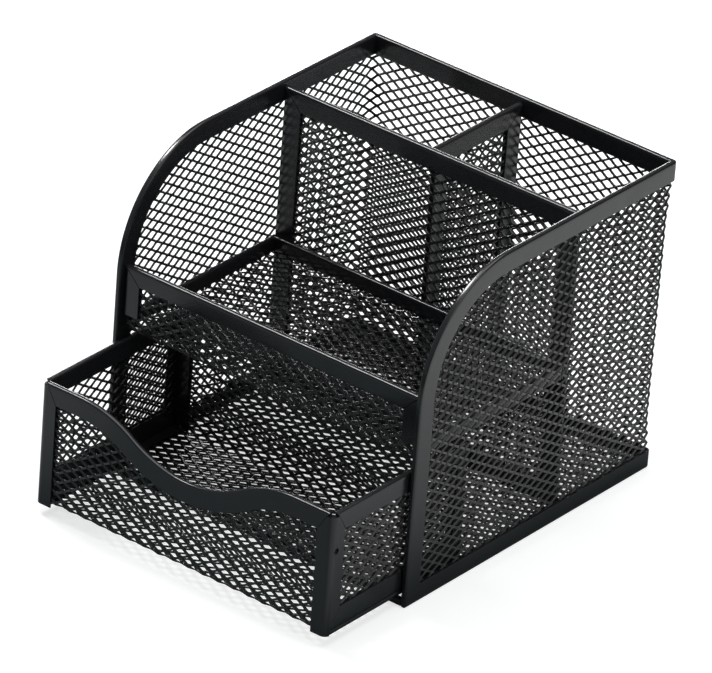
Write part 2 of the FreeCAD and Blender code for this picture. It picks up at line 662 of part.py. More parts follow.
def rivet_hole(body):
    """A small round hole in the right side of a front post, as deep as the strip is thick."""
    circle = body.newObject("Sketcher::SketchObject", f"{body.Name}_circle")
    side_plane = next(part for part in body.Origin.OriginFeatures if part.Role == "YZ_Plane")
    circle.AttachmentSupport = (side_plane, [""])
    circle.MapMode = "FlatFace"
    drive(circle, "AttachmentOffset.Base.z", DRAWER_HALF)
    centre = Vector(value("rivet_hole_setback"), value("rivet_hole_height"), 0)
    edge = circle.addGeometry(Part.Circle(centre, ALONG_Z, value("rivet_hole_radius")), False)
    pin_point(circle, edge, 3, "rivet_hole_setback", "rivet_hole_height")
    index = circle.addConstraint(Sketcher.Constraint("Radius", edge, value("rivet_hole_radius")))
    drive(circle, f"Constraints[{index}]", "rivet_hole_radius")
    cut(body, circle, "2 * strip_thickness")


for side, sign in (("left", -1), ("right", 1)):
    corner_post(f"drawer_rear_{side}_post", sign, -1)
    front_post = corner_post(f"drawer_front_{side}_post", sign, 1)
    if side == "right":
        rivet_hole(front_post)


# ---- Drawer: its side sheets, and the strips along its sides and rear ----

SIDE_SPAN = "(drawer_length - 2 * strip_thickness)"
SIDE_MIDDLE = f"({DRAWER_FRONT} + drawer_length / 2)"
RUNNER_LENGTH = f"(drawer_length - 2 * {TRAY_BEND_END})"
for side, sign in (("left", -1), ("right", 1)):
    middle = f"{sign} * ({DRAWER_HALF} - strip_thickness / 2)"
    flat_mesh(f"drawer_{side}_mesh", "YZ_Plane",
              ("strip_thickness", "strip_thickness + strip_wall"),
              ("drawer_length - strip_thickness", "drawer_height - strip_wall"),
              (("post_width", "strip_thickness + strip_width"),
               ("drawer_length - post_width", "drawer_height - strip_width")),
              (3, 2), (middle, DRAWER_FRONT, DRAWER_FOOT))
    strip(f"drawer_{side}_rim_strip", ALONG_Y, ALONG_Z,
          (middle, SIDE_MIDDLE, f"{DRAWER_FOOT} + drawer_height"), SIDE_SPAN, "strip_width", MITRE, MITRE)
    strip(f"drawer_{side}_base_strip", ALONG_Y, -ALONG_Z,
          (middle, SIDE_MIDDLE, f"{DRAWER_FOOT} + strip_thickness"), SIDE_SPAN, "strip_width", MITRE, MITRE)
    strip(f"drawer_{side}_runner_strip", ALONG_Y, sign * ALONG_X,
          (f"{sign} * {DRAWER_HALF}", SIDE_MIDDLE, f"{DRAWER_FOOT} + strip_thickness / 2"),
          RUNNER_LENGTH, "runner_width")
strip("drawer_rear_rim_strip", ALONG_X, ALONG_Z,
      ("0", f"{DRAWER_FRONT} + drawer_length - strip_thickness / 2", f"{DRAWER_FOOT} + drawer_height"),
      f"2 * {DRAWER_INNER}", "strip_width", MITRE, MITRE)


# ---- Check every object, then write one file for each piece ----

doc.recompute()
faulty = [thing.Name for thing in doc.Objects if {"Invalid", "Error"} & set(thing.State)]
if faulty:
    raise RuntimeError(f"these objects did not build: {faulty}")

TOOLS = {blank.Name for cutting in doc.findObjects("Part::Cut") for blank in (cutting.Base, cutting.Tool)}
pieces = [thing for thing in doc.Objects
          if thing.TypeId in ("PartDesign::Body", "Part::Cut") and thing.Name not in TOOLS]
for piece in pieces:
    if piece.Shape.isNull() or not piece.Shape.isValid() or len(piece.Shape.Solids) != 1:
        raise RuntimeError(f"{piece.Label} is not one sound solid")

os.makedirs("parts", exist_ok=True)
for piece in pieces:
    piece.Shape.exportStep(f"parts/{piece.Label}.step")
    box = piece.Shape.BoundBox
    print(f"{piece.Label:28s}{piece.Shape.Volume:9.0f} mm3   x {box.XMin:7.2f} {box.XMax:7.2f}"
          f"   y {box.YMin:7.2f} {box.YMax:7.2f}   z {box.ZMin:6.2f} {box.ZMax:6.2f}")
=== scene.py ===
from math import cos, pi, radians, sin

import bmesh
import bpy
import numpy as np
from mathutils import Matrix, Vector


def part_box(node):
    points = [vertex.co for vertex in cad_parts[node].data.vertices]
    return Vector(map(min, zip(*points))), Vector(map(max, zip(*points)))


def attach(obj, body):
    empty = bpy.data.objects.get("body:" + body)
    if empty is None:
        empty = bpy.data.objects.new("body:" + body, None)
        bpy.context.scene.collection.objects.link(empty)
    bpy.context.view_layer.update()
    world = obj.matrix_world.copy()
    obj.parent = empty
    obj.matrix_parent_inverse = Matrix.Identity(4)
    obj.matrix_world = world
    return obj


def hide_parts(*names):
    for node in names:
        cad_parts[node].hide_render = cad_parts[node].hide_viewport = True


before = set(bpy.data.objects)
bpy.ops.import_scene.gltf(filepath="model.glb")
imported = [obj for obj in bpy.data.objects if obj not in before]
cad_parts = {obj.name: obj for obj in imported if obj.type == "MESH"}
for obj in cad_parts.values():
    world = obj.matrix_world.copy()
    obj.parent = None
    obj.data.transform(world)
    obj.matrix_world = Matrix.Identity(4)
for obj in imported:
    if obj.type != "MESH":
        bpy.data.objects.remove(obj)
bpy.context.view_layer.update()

# ---- The table it stands on, the light and the camera ----
# A white table before a white background, under four soft boxes: a large one overhead, a small strong one for
# the strips' crests, one low at the left rear and one to the right. In the coat's reflections the table shows
# painted light and shade: painted shade in front, a painted shadow beside the foot, painted light beside and
# behind, and a painted falloff to dark far off, so that each black face shows a painted reflection of where
# it looks.


class Socket:
    """A shader value: Python's operators on it add Math nodes."""

    def __init__(self, tree, link):
        self.tree = tree
        self.link = link

    def maths(self, operation, *values):
        return self.tree.node("ShaderNodeMath", {"operation": operation}, *values)

    def __add__(self, other):
        return self.maths("ADD", self, other)

    def __mul__(self, other):
        return self.maths("MULTIPLY", self, other)

    __radd__ = __add__
    __rmul__ = __mul__

    def __abs__(self):
        return self.maths("ABSOLUTE", self)

    def over(self, low, high):
        """0 below low, 1 above high and a smooth step between them."""
        return self.tree.node("ShaderNodeMapRange", {"interpolation_type": "SMOOTHSTEP"}, self, low, high,
                              0.0, 1.0)


class Shader:
    """The node tree of one material or world."""

    def __init__(self, owner):
        owner.use_nodes = True
        self.tree = owner.node_tree
        self.tree.nodes.clear()

    def node(self, kind, settings, *inputs, output=0, **named):
        """Adds a node with its settings, fills its sockets in order and then by name, and returns one output.

        A socket whose input is None keeps its own value.
        """
        made = self.tree.nodes.new(kind)
        for name, value in settings.items():
            setattr(made, name, value)
        for key, value in [*enumerate(inputs), *named.items()]:
            entry = made.inputs[key.replace("_", " ") if isinstance(key, str) else key]
            if isinstance(value, Socket):
                self.tree.links.new(value.link, entry)
            elif value is not None:
                entry.default_value = value
        return Socket(self, made.outputs[output])

    def mix(self, share, first, second):
        """A colour between two, by a share from 0 to 1, past the node's five sockets for numbers and
        vectors."""
        return self.node("ShaderNodeMix", {"data_type": "RGBA"}, share, *[None] * 5, first, second, output=2)

    def finish(self, surface, kind="ShaderNodeOutputMaterial"):
        made = self.tree.nodes.new(kind)
        self.tree.links.new(surface.link, made.inputs["Surface"])


def material(name):
    made = bpy.data.materials.new(name)
    return made, Shader(made)


def grey(value):
    return (value, value, value, 1.0)


def mesh_object(name, vertices, faces):
    """An object at the origin from arrays of points and of faces."""
    data = bpy.data.meshes.new(name)
    data.from_pydata(vertices, [], faces)
    data.update()
    made = bpy.data.objects.new(name, data)
    bpy.context.collection.objects.link(made)
    return made


# The painted light and shade on the table that the coat mirrors, and where one takes over from the next: from
# the painted shade in front to the painted light behind, from the painted shadow beside the foot to the
# painted light at the sides, and outwards to the painted falloff.
SHADE_TONE, PAINTED_LIGHT_TONE, PAINTED_FALLOFF_TONE, REAR_TONE = (0.23, 0.27, 0.28, 1.0), grey(0.80), grey(0.05), grey(0.14)
LIT_BEHIND_FRONT_SHADE, LIT_BEYOND_FOOT_SHADOW, FALLOFF_RANGE = (-0.35, 0.10), (0.065, 0.115), (0.38, 0.62)
REAR_OF_ROOM = (-0.7, 0.5)
# What is seen of the table: its own glow, which turns white far off, and the paint that takes the shadow.
PAPER_GLOW, PAPER_SHADE, WHITE = grey(0.63), grey(0.57), grey(1.0)
WHITE_BEYOND = (0.5, 1.5)

table_white, nodes = material("white_table")
place = nodes.node("ShaderNodeTexCoord", {}, output="Object")
seen = nodes.node("ShaderNodeLightPath", {}, output="Is Camera Ray")
sideways = nodes.node("ShaderNodeSeparateXYZ", {}, place, output="X")
rearwards = nodes.node("ShaderNodeSeparateXYZ", {}, place, output="Y")
distance = nodes.node("ShaderNodeVectorMath", {"operation": "LENGTH"}, place, output="Value")
# Painted light to the sides and behind, painted shade in front and a painted shadow beside the foot; further
# out a painted falloff to dark.
painted_lit_share = rearwards.over(*LIT_BEHIND_FRONT_SHADE) * abs(sideways).over(*LIT_BEYOND_FOOT_SHADOW)
painted_light_and_shade = nodes.mix(distance.over(*FALLOFF_RANGE), nodes.mix(painted_lit_share, SHADE_TONE, PAINTED_LIGHT_TONE), PAINTED_FALLOFF_TONE)
painted = nodes.node("ShaderNodeBsdfDiffuse", {}, painted_light_and_shade, 1.0)
glow = nodes.node("ShaderNodeEmission", {}, nodes.mix(distance.over(*WHITE_BEYOND), PAPER_GLOW, WHITE), 1.0)
shaded = nodes.node("ShaderNodeBsdfDiffuse", {}, PAPER_SHADE, 1.0)
paper = nodes.node("ShaderNodeAddShader", {}, glow, shaded)
nodes.finish(nodes.node("ShaderNodeMixShader", {}, seen, painted, paper))

HALF_TABLE = 4.0
table = mesh_object("table", [(-HALF_TABLE, -HALF_TABLE, 0), (HALF_TABLE, -HALF_TABLE, 0),
                              (HALF_TABLE, HALF_TABLE, 0), (-HALF_TABLE, HALF_TABLE, 0)], [(0, 1, 2, 3)])
table.data.materials.append(table_white)

room = bpy.data.worlds.new("room")
bpy.context.scene.world = room
nodes = Shader(room)
seen = nodes.node("ShaderNodeLightPath", {}, output="Is Camera Ray")
direction = nodes.node("ShaderNodeTexCoord", {}, output="Generated")
rearwards = nodes.node("ShaderNodeSeparateXYZ", {}, direction, output="Y")
walls = nodes.mix(rearwards.over(*REAR_OF_ROOM), SHADE_TONE, REAR_TONE)
background = nodes.node("ShaderNodeBackground", {}, nodes.mix(seen, walls, WHITE), 1.0)
nodes.finish(background, "ShaderNodeOutputWorld")


def soft_box(name, at, towards, size, watts):
    """A rectangular lamp that faces a point."""
    lamp = bpy.data.lights.new(name, "AREA")
    lamp.shape = "RECTANGLE"
    lamp.size, lamp.size_y = size
    lamp.energy = watts
    made = bpy.data.objects.new(name, lamp)
    made.location = at
    made.rotation_euler = (Vector(towards) - Vector(at)).to_track_quat("-Z", "Y").to_euler()
    bpy.context.collection.objects.link(made)


soft_box("overhead_box", at=(0.05, 0.2, 1.3), towards=(0, 0, 0.05), size=(1.2, 1.2), watts=11.5)
soft_box("crest_box", at=(-0.66, 0.0, 1.13), towards=(0, 0, 0.05), size=(0.32, 0.32), watts=12)
soft_box("rear_box", at=(-0.82, 1.01, 0.18), towards=(0, 0, 0.10), size=(0.65, 0.32), watts=10.5)
soft_box("right_box", at=(1.3, 0.1, 0.8), towards=(0, 0, 0.05), size=(0.9, 0.9), watts=5)

VIEW_AZIMUTH, VIEW_HEIGHT, VIEW_ROLL = radians(36.77), radians(28.996), radians(4.332)
VIEW_DISTANCE = 3.265854
VIEW_CENTRE = Vector((-0.014389, 0.02097, 0.048843))
FOCAL_PIXELS = 9000
IMAGE_WIDTH = 712
SENSOR = 36

back = Vector((sin(VIEW_AZIMUTH) * cos(VIEW_HEIGHT), -cos(VIEW_AZIMUTH) * cos(VIEW_HEIGHT), sin(VIEW_HEIGHT)))
level = Vector((cos(VIEW_AZIMUTH), sin(VIEW_AZIMUTH), 0))
upright = back.cross(level)
right = cos(VIEW_ROLL) * level + sin(VIEW_ROLL) * upright
camera_data = bpy.data.cameras.new("camera")
camera_data.sensor_fit = "HORIZONTAL"
camera_data.sensor_width = SENSOR
camera_data.lens = FOCAL_PIXELS * SENSOR / IMAGE_WIDTH
camera_data.clip_end = 50
camera = bpy.data.objects.new("camera", camera_data)
camera.matrix_world = Matrix.Translation(VIEW_CENTRE + back * VIEW_DISTANCE) @ Matrix(
    (right, back.cross(right), back)).transposed().to_4x4()
bpy.context.collection.objects.link(camera)
bpy.context.scene.camera = camera
bpy.context.scene.view_settings.view_transform = "Standard"


# ---- The shell's mesh ----
# One piece of steel is slit and pulled open into diamonds, so every row is a zigzag strand that meets the
# next row edge to edge. The coated strands lie tilted like slats. The sheet is wrapped round the left side,
# the back and the right side.

MM = 0.001
CELL_LONG, CELL_SHORT = 6.9 * MM, 4.1 * MM
STRAND_WIDTH, STRAND_THICKNESS = 0.84 * MM, 0.56 * MM
STRAND_TILT = radians(17)
BOND_HALF = 0.45 * MM
BOND_SPREAD, BOND_LEAN = 0.24 * MM, 0.08 * MM
SPREAD_SHAKE, LEAN_SHAKE = 0.04 * MM, 0.05 * MM

housing_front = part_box("shell_rim_strip")[0].y
WIDTH, DEPTH, HEIGHT = 140 * MM, 144 * MM, 127 * MM
CURVE = 46 * MM
CORNER = 1.7 * MM
LEFT_MESH_CORNER, RIGHT_MESH_CORNER = 6.5 * MM, 2.5 * MM
STRIP = 2.2 * MM
MIDDLE = STRIP / 2
FOLD_WALL = 0.6 * MM
RIM_WIDTH, BASE_WIDTH = 8 * MM, 7.2 * MM
BASE_TOP, RIM_FOOT = BASE_WIDTH, HEIGHT - RIM_WIDTH
CORNER_EASE = 18 * MM
SHEET_SETBACK = 0.65 * MM

shake = np.random.default_rng(7)


def strand_rows(across, along, lean):
    """Zigzag strands on a flat sheet: the middle line's points, rows by stations by (across, along, proud).

    Each half cell gives three stations: the middle of a bond, its end, and the start of the next bond. A
    strand is the upper one at its lower bond, leaning out of the sheet, and the lower one at its upper bond,
    leaning back, or the other way round where the lean is -1.
    """
    pitch = CELL_SHORT / 2
    rows = np.arange(np.floor(along[0] / pitch) - 1, np.ceil(along[1] / pitch) + 1)
    half = CELL_LONG / 2
    bonds = np.arange(np.floor(across[0] / half) - 1, np.ceil(across[1] / half) + 2)
    low = (rows[:, None] + bonds[None, :]) % 2 == 0
    level_at = np.where(low, rows[:, None] * pitch + BOND_SPREAD, (rows[:, None] + 1) * pitch - BOND_SPREAD)
    proud_at = np.where(low, lean * BOND_LEAN, -lean * BOND_LEAN)
    level_at = level_at + shake.normal(0, SPREAD_SHAKE, level_at.shape)
    proud_at = proud_at + shake.normal(0, LEAN_SHAKE, proud_at.shape)
    place = bonds * half
    stations = np.empty((len(rows), len(bonds) - 1, 3, 3))
    stations[:, :, 0, 0] = place[:-1]
    stations[:, :, 1, 0] = place[:-1] + BOND_HALF
    stations[:, :, 2, 0] = place[1:] - BOND_HALF
    for step, source in ((0, slice(None, -1)), (1, slice(None, -1)), (2, slice(1, None))):
        stations[:, :, step, 1] = level_at[:, source]
        stations[:, :, step, 2] = proud_at[:, source]
    return stations.reshape(len(rows), -1, 3)


def strand_corners(line, lean):
    """Four corners of the flat strand at each station: half its width to each side along the slat's slope,
    square to its run, and half its thickness out of the slat."""
    run = np.gradient(line, axis=1)
    run /= np.linalg.norm(run, axis=2, keepdims=True)
    slat = np.array([0.0, -lean * sin(STRAND_TILT), cos(STRAND_TILT)])
    side = np.cross(slat, run)
    side /= np.linalg.norm(side, axis=2, keepdims=True)
    face = np.cross(run, side)
    wide, thick = side * STRAND_WIDTH / 2, face * STRAND_THICKNESS / 2
    return np.stack([line - wide - thick, line + wide - thick, line + wide + thick, line - wide + thick],
                    axis=2)


def expanded_mesh(name, lay, across, along, inside, lean=1):
    """An expanded sheet: the strands' corners laid on the sheet's own surface and joined from station to
    station.

    lay turns (across, along, proud) into points, and inside says which points lie within the sheet's
    outline. A strand that the outline cuts is closed by a flat end. The lean is -1 where the slats slope the
    other way.
    """
    line = strand_rows(across, along, lean)
    kept = inside(lay(line)) & (line[..., 0] >= across[0]) & (line[..., 0] <= across[1])
    kept &= (line[..., 1] >= along[0]) & (line[..., 1] <= along[1])
    points = lay(strand_corners(line, lean))
    joined = kept[:, :-1] & kept[:, 1:]
    number = np.arange(points[..., 0].size).reshape(points.shape[:3])
    here, there = number[:, :-1], number[:, 1:]
    turn = np.roll(np.arange(4), -1)
    sides = np.stack([here, here[..., turn], there[..., turn], there], axis=3)[joined].reshape(-1, 4)
    starts = joined & ~np.pad(joined, ((0, 0), (1, 0)))[:, :-1]
    stops = joined & ~np.pad(joined, ((0, 0), (0, 1)))[:, 1:]
    faces = np.concatenate([sides, here[starts][:, ::-1], there[stops]])
    used, faces = np.unique(faces, return_inverse=True)
    return mesh_object(name, points.reshape(-1, 3)[used], faces.reshape(-1, 4))


sheet_turn = CORNER - MIDDLE
side_run, back_run = DEPTH - MIDDLE - SHEET_SETBACK, WIDTH - STRIP
plan_length = 2 * side_run + back_run


def wrap_round_shell(points):
    """Across the sheet is the distance along its left, rear and right sides, along is the height, and proud
    is inwards.

    Within a corner's reach, the share of the reach that is left turns the sheet by up to 45 degrees each way
    on a circle of that radius. The reach is small at the strips and grows smoothly between them.
    """
    across, height, proud = points[..., 0], points[..., 1], points[..., 2]
    share = np.clip((np.minimum(height - BASE_TOP, RIM_FOOT - height)) / CORNER_EASE, 0, 1)
    left = across < side_run + back_run / 2
    widest = np.where(left, LEFT_MESH_CORNER, RIGHT_MESH_CORNER)
    reach = sheet_turn + (widest - sheet_turn) * share * share * (3 - 2 * share)
    side = np.where(left, -1.0, 1.0)
    past = np.abs(across - side_run - back_run / 2) - back_run / 2
    turned = np.clip(past / reach, -1, 1) * pi / 4 + pi / 4
    straight_back = np.maximum(-past - reach, 0)
    straight_side = np.maximum(past - reach, 0)
    ring = reach - proud
    out = WIDTH / 2 - MIDDLE - reach + ring * np.sin(turned) - straight_back
    back = housing_front + DEPTH - MIDDLE - reach + ring * np.cos(turned) - straight_side
    return np.stack([side * out, back, height], -1)


def inside_side_outline(points):
    """Whether points lie within the side panels' outline, a fold's wall in from its edge: behind the front,
    under the top and inside the quarter circle that joins them."""
    behind, under = points[..., 1] - housing_front, HEIGHT - points[..., 2]
    ahead_of_curve = (behind < CURVE) & (under < CURVE)
    circle = np.hypot(CURVE - behind, CURVE - under) <= CURVE - FOLD_WALL
    clear = (behind >= FOLD_WALL) & (under >= FOLD_WALL) & (points[..., 2] >= FOLD_WALL)
    return clear & (~ahead_of_curve | circle)


STRAND_DARK, STRAND_PALE = grey(0.008), grey(0.016)
mesh_black, nodes = material("black_coated_mesh")
place = nodes.node("ShaderNodeTexCoord", {}, output="Object")
speckle = nodes.node("ShaderNodeTexNoise", {}, Vector=place, Scale=900.0, Detail=2.0)
patch = nodes.node("ShaderNodeTexNoise", {}, Vector=place, Scale=60.0, Detail=2.0)
grain = nodes.node("ShaderNodeBump", {}, Strength=0.25, Distance=0.0002, Height=speckle)
nodes.finish(nodes.node("ShaderNodeBsdfPrincipled", {"distribution": "GGX"},
                        Base_Color=nodes.mix(patch, STRAND_DARK, STRAND_PALE),
                        Roughness=0.20 + 0.12 * speckle, Normal=grain, IOR=1.5))


def coat_mesh(piece, body, node):
    """Puts the coat on a sheet that stands for a node."""
    piece.data.materials.append(mesh_black)
    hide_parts(node)
    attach(piece, body)


coat_mesh(expanded_mesh("shell_mesh_sheet", wrap_round_shell, (0, plan_length),
                        (FOLD_WALL, HEIGHT - FOLD_WALL), inside_side_outline), "housing", "shell_mesh")


# ---- The shell's rim strip and base strip ----
# Channels of 0.6 mm steel, folded over the sheet's edges and squeezed on. The rim strip runs up both front
# edges, round the curves and along the top of the sides and back. The base strip runs round the bottom. They
# meet at oblique seams in the two front feet.

FOLD_RADIUS = 0.7 * MM
SEAM = 0.25 * MM
EDGE_SINK, EDGE_ROUND = 0.02 * MM, 0.12 * MM
FACE_FROM, FACE_TO = 0.15, 0.85
SHARP_FROM = radians(28)
MERGED_UNDER = 0.001 * MM
CORNER_APPROACH = 1 * MM
SECTION_STATIONS = 5
STRAIGHT_STATIONS, CURVE_STATIONS, CORNER_STATIONS, BACK_STATIONS = 12, 40, 9, 8


def channel_section(width):
    """Half the channel's section as (depth from the fold, height from the middle): the fold's arc, the outer
    face, the open edge, which is rounded and stands in by a hair, and the slot; then its mirror image."""
    angle = np.linspace(0, pi / 2, SECTION_STATIONS)
    fold = np.stack([FOLD_RADIUS - FOLD_RADIUS * np.cos(angle),
                     MIDDLE - FOLD_RADIUS + FOLD_RADIUS * np.sin(angle)], 1)
    share = np.linspace(FACE_FROM, FACE_TO, SECTION_STATIONS)
    face = np.stack([FOLD_RADIUS + (width - FOLD_RADIUS) * share, np.full_like(share, MIDDLE)], 1)
    edge = np.array([[width - EDGE_ROUND, MIDDLE - EDGE_SINK], [width, MIDDLE - EDGE_SINK - EDGE_ROUND],
                     [width, MIDDLE - FOLD_WALL], [FOLD_WALL, MIDDLE - FOLD_WALL]])
    half = np.concatenate([fold, face, edge])
    return np.concatenate([half, half[::-1] * [1, -1]])


def folded_strip(name, body, edge, inward, face, square, width, start_slant=0.0, end_slant=0.0):
    """A channel carried along a line of stations.

    Each point is the edge's point, plus its depth along the inward direction, plus its height along the
    face's normal. Where the strip turns a tight corner, the part of the height beyond the corner's centre
    goes along the square direction instead, which leaves the inner corner square. At a slanted end, a point
    is moved along the strip by its depth times the slant, and the last ring is drawn in by a hair, so that a
    seam shows between two strips.
    """
    edge, inward, face, square = (np.asarray(line, float) for line in (edge, inward, face, square))
    section = channel_section(width)
    first, last = edge[1] - edge[0], edge[-1] - edge[-2]
    first, last = first / np.linalg.norm(first), last / np.linalg.norm(last)
    depth, height = section[None, :, :1], section[None, :, 1:]
    rings = edge[:, None] + depth * inward[:, None] + np.maximum(height, -sheet_turn) * face[:, None]
    rings += np.minimum(height + sheet_turn, 0) * square[:, None]
    rings[0] += section[:, :1] * start_slant * first
    rings[-1] -= section[:, :1] * end_slant * last
    tight = section * [1, 1 - SEAM / MIDDLE]
    tight[:, 0] = np.maximum(tight[:, 0], SEAM)
    front = edge[0] + tight[:, :1] * (inward[0] + start_slant * first) + tight[:, 1:] * face[0]
    rear = edge[-1] + tight[:, :1] * (inward[-1] - end_slant * last) + tight[:, 1:] * face[-1]
    rings[0] += first * SEAM
    rings[-1] -= last * SEAM
    rings = np.concatenate([front[None], rings, rear[None]])
    count = len(section)
    number = np.arange(rings.shape[0] * count).reshape(-1, count)
    here, there = number[:-1], number[1:]
    turn = np.roll(np.arange(count), -1)
    faces = np.stack([here, there, there[:, turn], here[:, turn]], axis=2).reshape(-1, 4).tolist()
    made = mesh_object(name, rings.reshape(-1, 3), faces + [number[0].tolist(), number[-1][::-1].tolist()])
    return coat_strip(made, body)


STRIP_DARK, STRIP_PALE = (0.0085, 0.0088, 0.0100, 1.0), (0.0130, 0.0134, 0.0150, 1.0)
strip_black, nodes = material("black_coated_strip")
place = nodes.node("ShaderNodeTexCoord", {}, output="Object")
peel = nodes.node("ShaderNodeTexNoise", {}, Vector=place, Scale=1400.0, Detail=2.0)
wave = nodes.node("ShaderNodeTexNoise", {}, Vector=place, Scale=55.0, Detail=1.0)
patch = nodes.node("ShaderNodeTexNoise", {}, Vector=place, Scale=18.0, Detail=3.0)
dimple = nodes.node("ShaderNodeBump", {}, Strength=0.22, Distance=0.0001, Height=peel)
surface = nodes.node("ShaderNodeBump", {}, Strength=0.30, Distance=0.0010, Height=wave, Normal=dimple)
nodes.finish(nodes.node("ShaderNodeBsdfPrincipled", {"distribution": "GGX"},
                        Base_Color=nodes.mix(patch, STRIP_DARK, STRIP_PALE),
                        Roughness=0.14 + 0.12 * patch + 0.04 * peel, Normal=surface, IOR=1.5))


def coat_strip(piece, body):
    """Puts the coat on a strip that stands for the node of its own name, and smooths all but its sharp
    edges."""
    work = bmesh.new()
    work.from_mesh(piece.data)
    bmesh.ops.remove_doubles(work, verts=work.verts, dist=MERGED_UNDER)
    bmesh.ops.recalc_face_normals(work, faces=work.faces)
    work.to_mesh(piece.data)
    work.free()
    piece.data.shade_smooth()
    piece.data.set_sharp_from_angle(angle=SHARP_FROM)
    piece.data.materials.append(strip_black)
    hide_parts(piece.name.removesuffix("_channel"))
    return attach(piece, body)


X, Y, Z = np.eye(3)
side_plane = WIDTH / 2 - MIDDLE


def left_rim_stations():
    """Up the left front edge, round the quarter circle and back along the top to the rear corner's arc."""
    rise = np.linspace(0, HEIGHT - CURVE, STRAIGHT_STATIONS)
    foot = np.stack([np.zeros_like(rise), rise], 1)
    angle = np.linspace(0, pi / 2, CURVE_STATIONS)[1:]
    arc = np.stack([CURVE - CURVE * np.cos(angle), HEIGHT - CURVE + CURVE * np.sin(angle)], 1)
    run = np.linspace(CURVE, DEPTH - CORNER - CORNER_APPROACH, STRAIGHT_STATIONS)[1:]
    top = np.stack([run, np.full_like(run, HEIGHT)], 1)
    line = np.concatenate([foot, arc, top])
    inward = np.concatenate([np.tile([1.0, 0.0], (len(foot), 1)),
                             np.stack([np.cos(angle), -np.sin(angle)], 1),
                             np.tile([0.0, -1.0], (len(top), 1))])
    edge = np.stack([np.full(len(line), -side_plane), housing_front + line[:, 0], line[:, 1]], 1)
    face = np.tile(-X, (len(line), 1))
    return edge, np.concatenate([np.zeros((len(line), 1)), inward], 1), face, face


def rear_corner_stations(height, inward):
    """Round the left rear corner and half way along the back."""
    angle = np.linspace(0, pi / 2, CORNER_STATIONS)
    rear = housing_front + DEPTH - CORNER
    centre = np.array([-(WIDTH / 2 - CORNER), rear, height])
    turned = np.stack([-np.cos(angle), np.sin(angle), np.zeros_like(angle)], 1)
    inwards = np.linspace(centre[0], 0, BACK_STATIONS)[1:]
    run = np.stack([inwards, np.full_like(inwards, rear + sheet_turn), np.full_like(inwards, height)], 1)
    edge = np.concatenate([centre + sheet_turn * turned, run])
    face = np.concatenate([turned, np.tile(Y, (len(run), 1))])
    square = np.concatenate([np.tile(Y - X, (len(turned), 1)), np.tile(Y, (len(run), 1))])
    return edge, np.tile(inward, (len(edge), 1)), face, square


def with_mirror(parts):
    """Stations of the left half, then of the right half: the left half's in reverse, mirrored in x."""
    left = [np.concatenate(lines) for lines in zip(*parts)]
    return [np.concatenate([line, line[-2::-1] * [-1, 1, 1]]) for line in left]


folded_strip("shell_rim_strip_channel", "housing",
             *with_mirror([left_rim_stations(), rear_corner_stations(HEIGHT, -Z)]), RIM_WIDTH,
             BASE_WIDTH / RIM_WIDTH, BASE_WIDTH / RIM_WIDTH)
base_run = np.linspace(housing_front, housing_front + DEPTH - CORNER - CORNER_APPROACH, STRAIGHT_STATIONS)
base_line = np.stack([np.full_like(base_run, -side_plane), base_run, np.zeros_like(base_run)], 1)
base_face = np.tile(-X, (len(base_line), 1))
base_inward = np.tile(Z, (len(base_line), 1))
folded_strip("shell_base_strip_channel", "housing",
             *with_mirror([(base_line, base_inward, base_face, base_face), rear_corner_stations(0.0, Z)]),
             BASE_WIDTH, RIM_WIDTH / BASE_WIDTH, RIM_WIDTH / BASE_WIDTH)


# ---- The floor and the front sill ----
# The floor is a sheet of the same mesh with its four edges turned down inside the base strips. A narrow
# channel folded over its front edge is the sill that the drawer runs over.

FLOOR_TOP = 4.2 * MM
FLOOR_FOOT, FLOOR_SIDE_FOOT = 0.7 * MM, 0.5 * MM
FLOOR_SIDE_EDGE = 2 * MM
SHEET = 0.9 * MM
FOLD_OUTSIDE = 1.2 * MM
TIGHT_FOLD = FOLD_OUTSIDE - SHEET / 2
INNER_SIDE = WIDTH / 2 - STRIP
INNER_REAR = DEPTH - STRIP


def bent_line(start, heading, runs):
    """A line of straight runs and arcs, as a function from distance to (point, heading).

    Each run is (length, turn). On an arc, the point moves by the difference of the sines and cosines of its
    heading over the curvature.
    """
    lengths = np.array([run[0] for run in runs])
    turns = np.array([run[1] for run in runs])
    marks = np.concatenate([[0], np.cumsum(lengths)])
    headings = heading + np.concatenate([[0], np.cumsum(turns)])
    bends = turns / lengths

    def move(angle, bend, distance):
        straight = np.stack([np.cos(angle) * distance, np.sin(angle) * distance], -1)
        safe = np.where(bend == 0, 1, bend)
        ahead = angle + safe * distance
        curved = np.stack([np.sin(ahead) - np.sin(angle), np.cos(angle) - np.cos(ahead)], -1)
        return np.where((bend == 0)[..., None], straight, curved / safe[..., None])

    steps = move(headings[:-1], bends, lengths)
    corners = np.array(start) + np.concatenate([[[0, 0]], np.cumsum(steps, axis=0)])

    def at(distance):
        run = np.clip(np.searchsorted(marks, distance, "right") - 1, 0, len(lengths) - 1)
        into = distance - marks[run]
        return corners[run] + move(headings[run], bends[run], into), headings[run] + bends[run] * into

    at.length = marks[-1]
    return at


def flat_sheet(corner, across, along, proud):
    """A flat sheet: a corner, plus the distances along three directions at right angles."""
    frame_axes = np.array([across, along, proud], float)

    def lay(points):
        return np.asarray(corner, float) + points @ frame_axes

    return lay


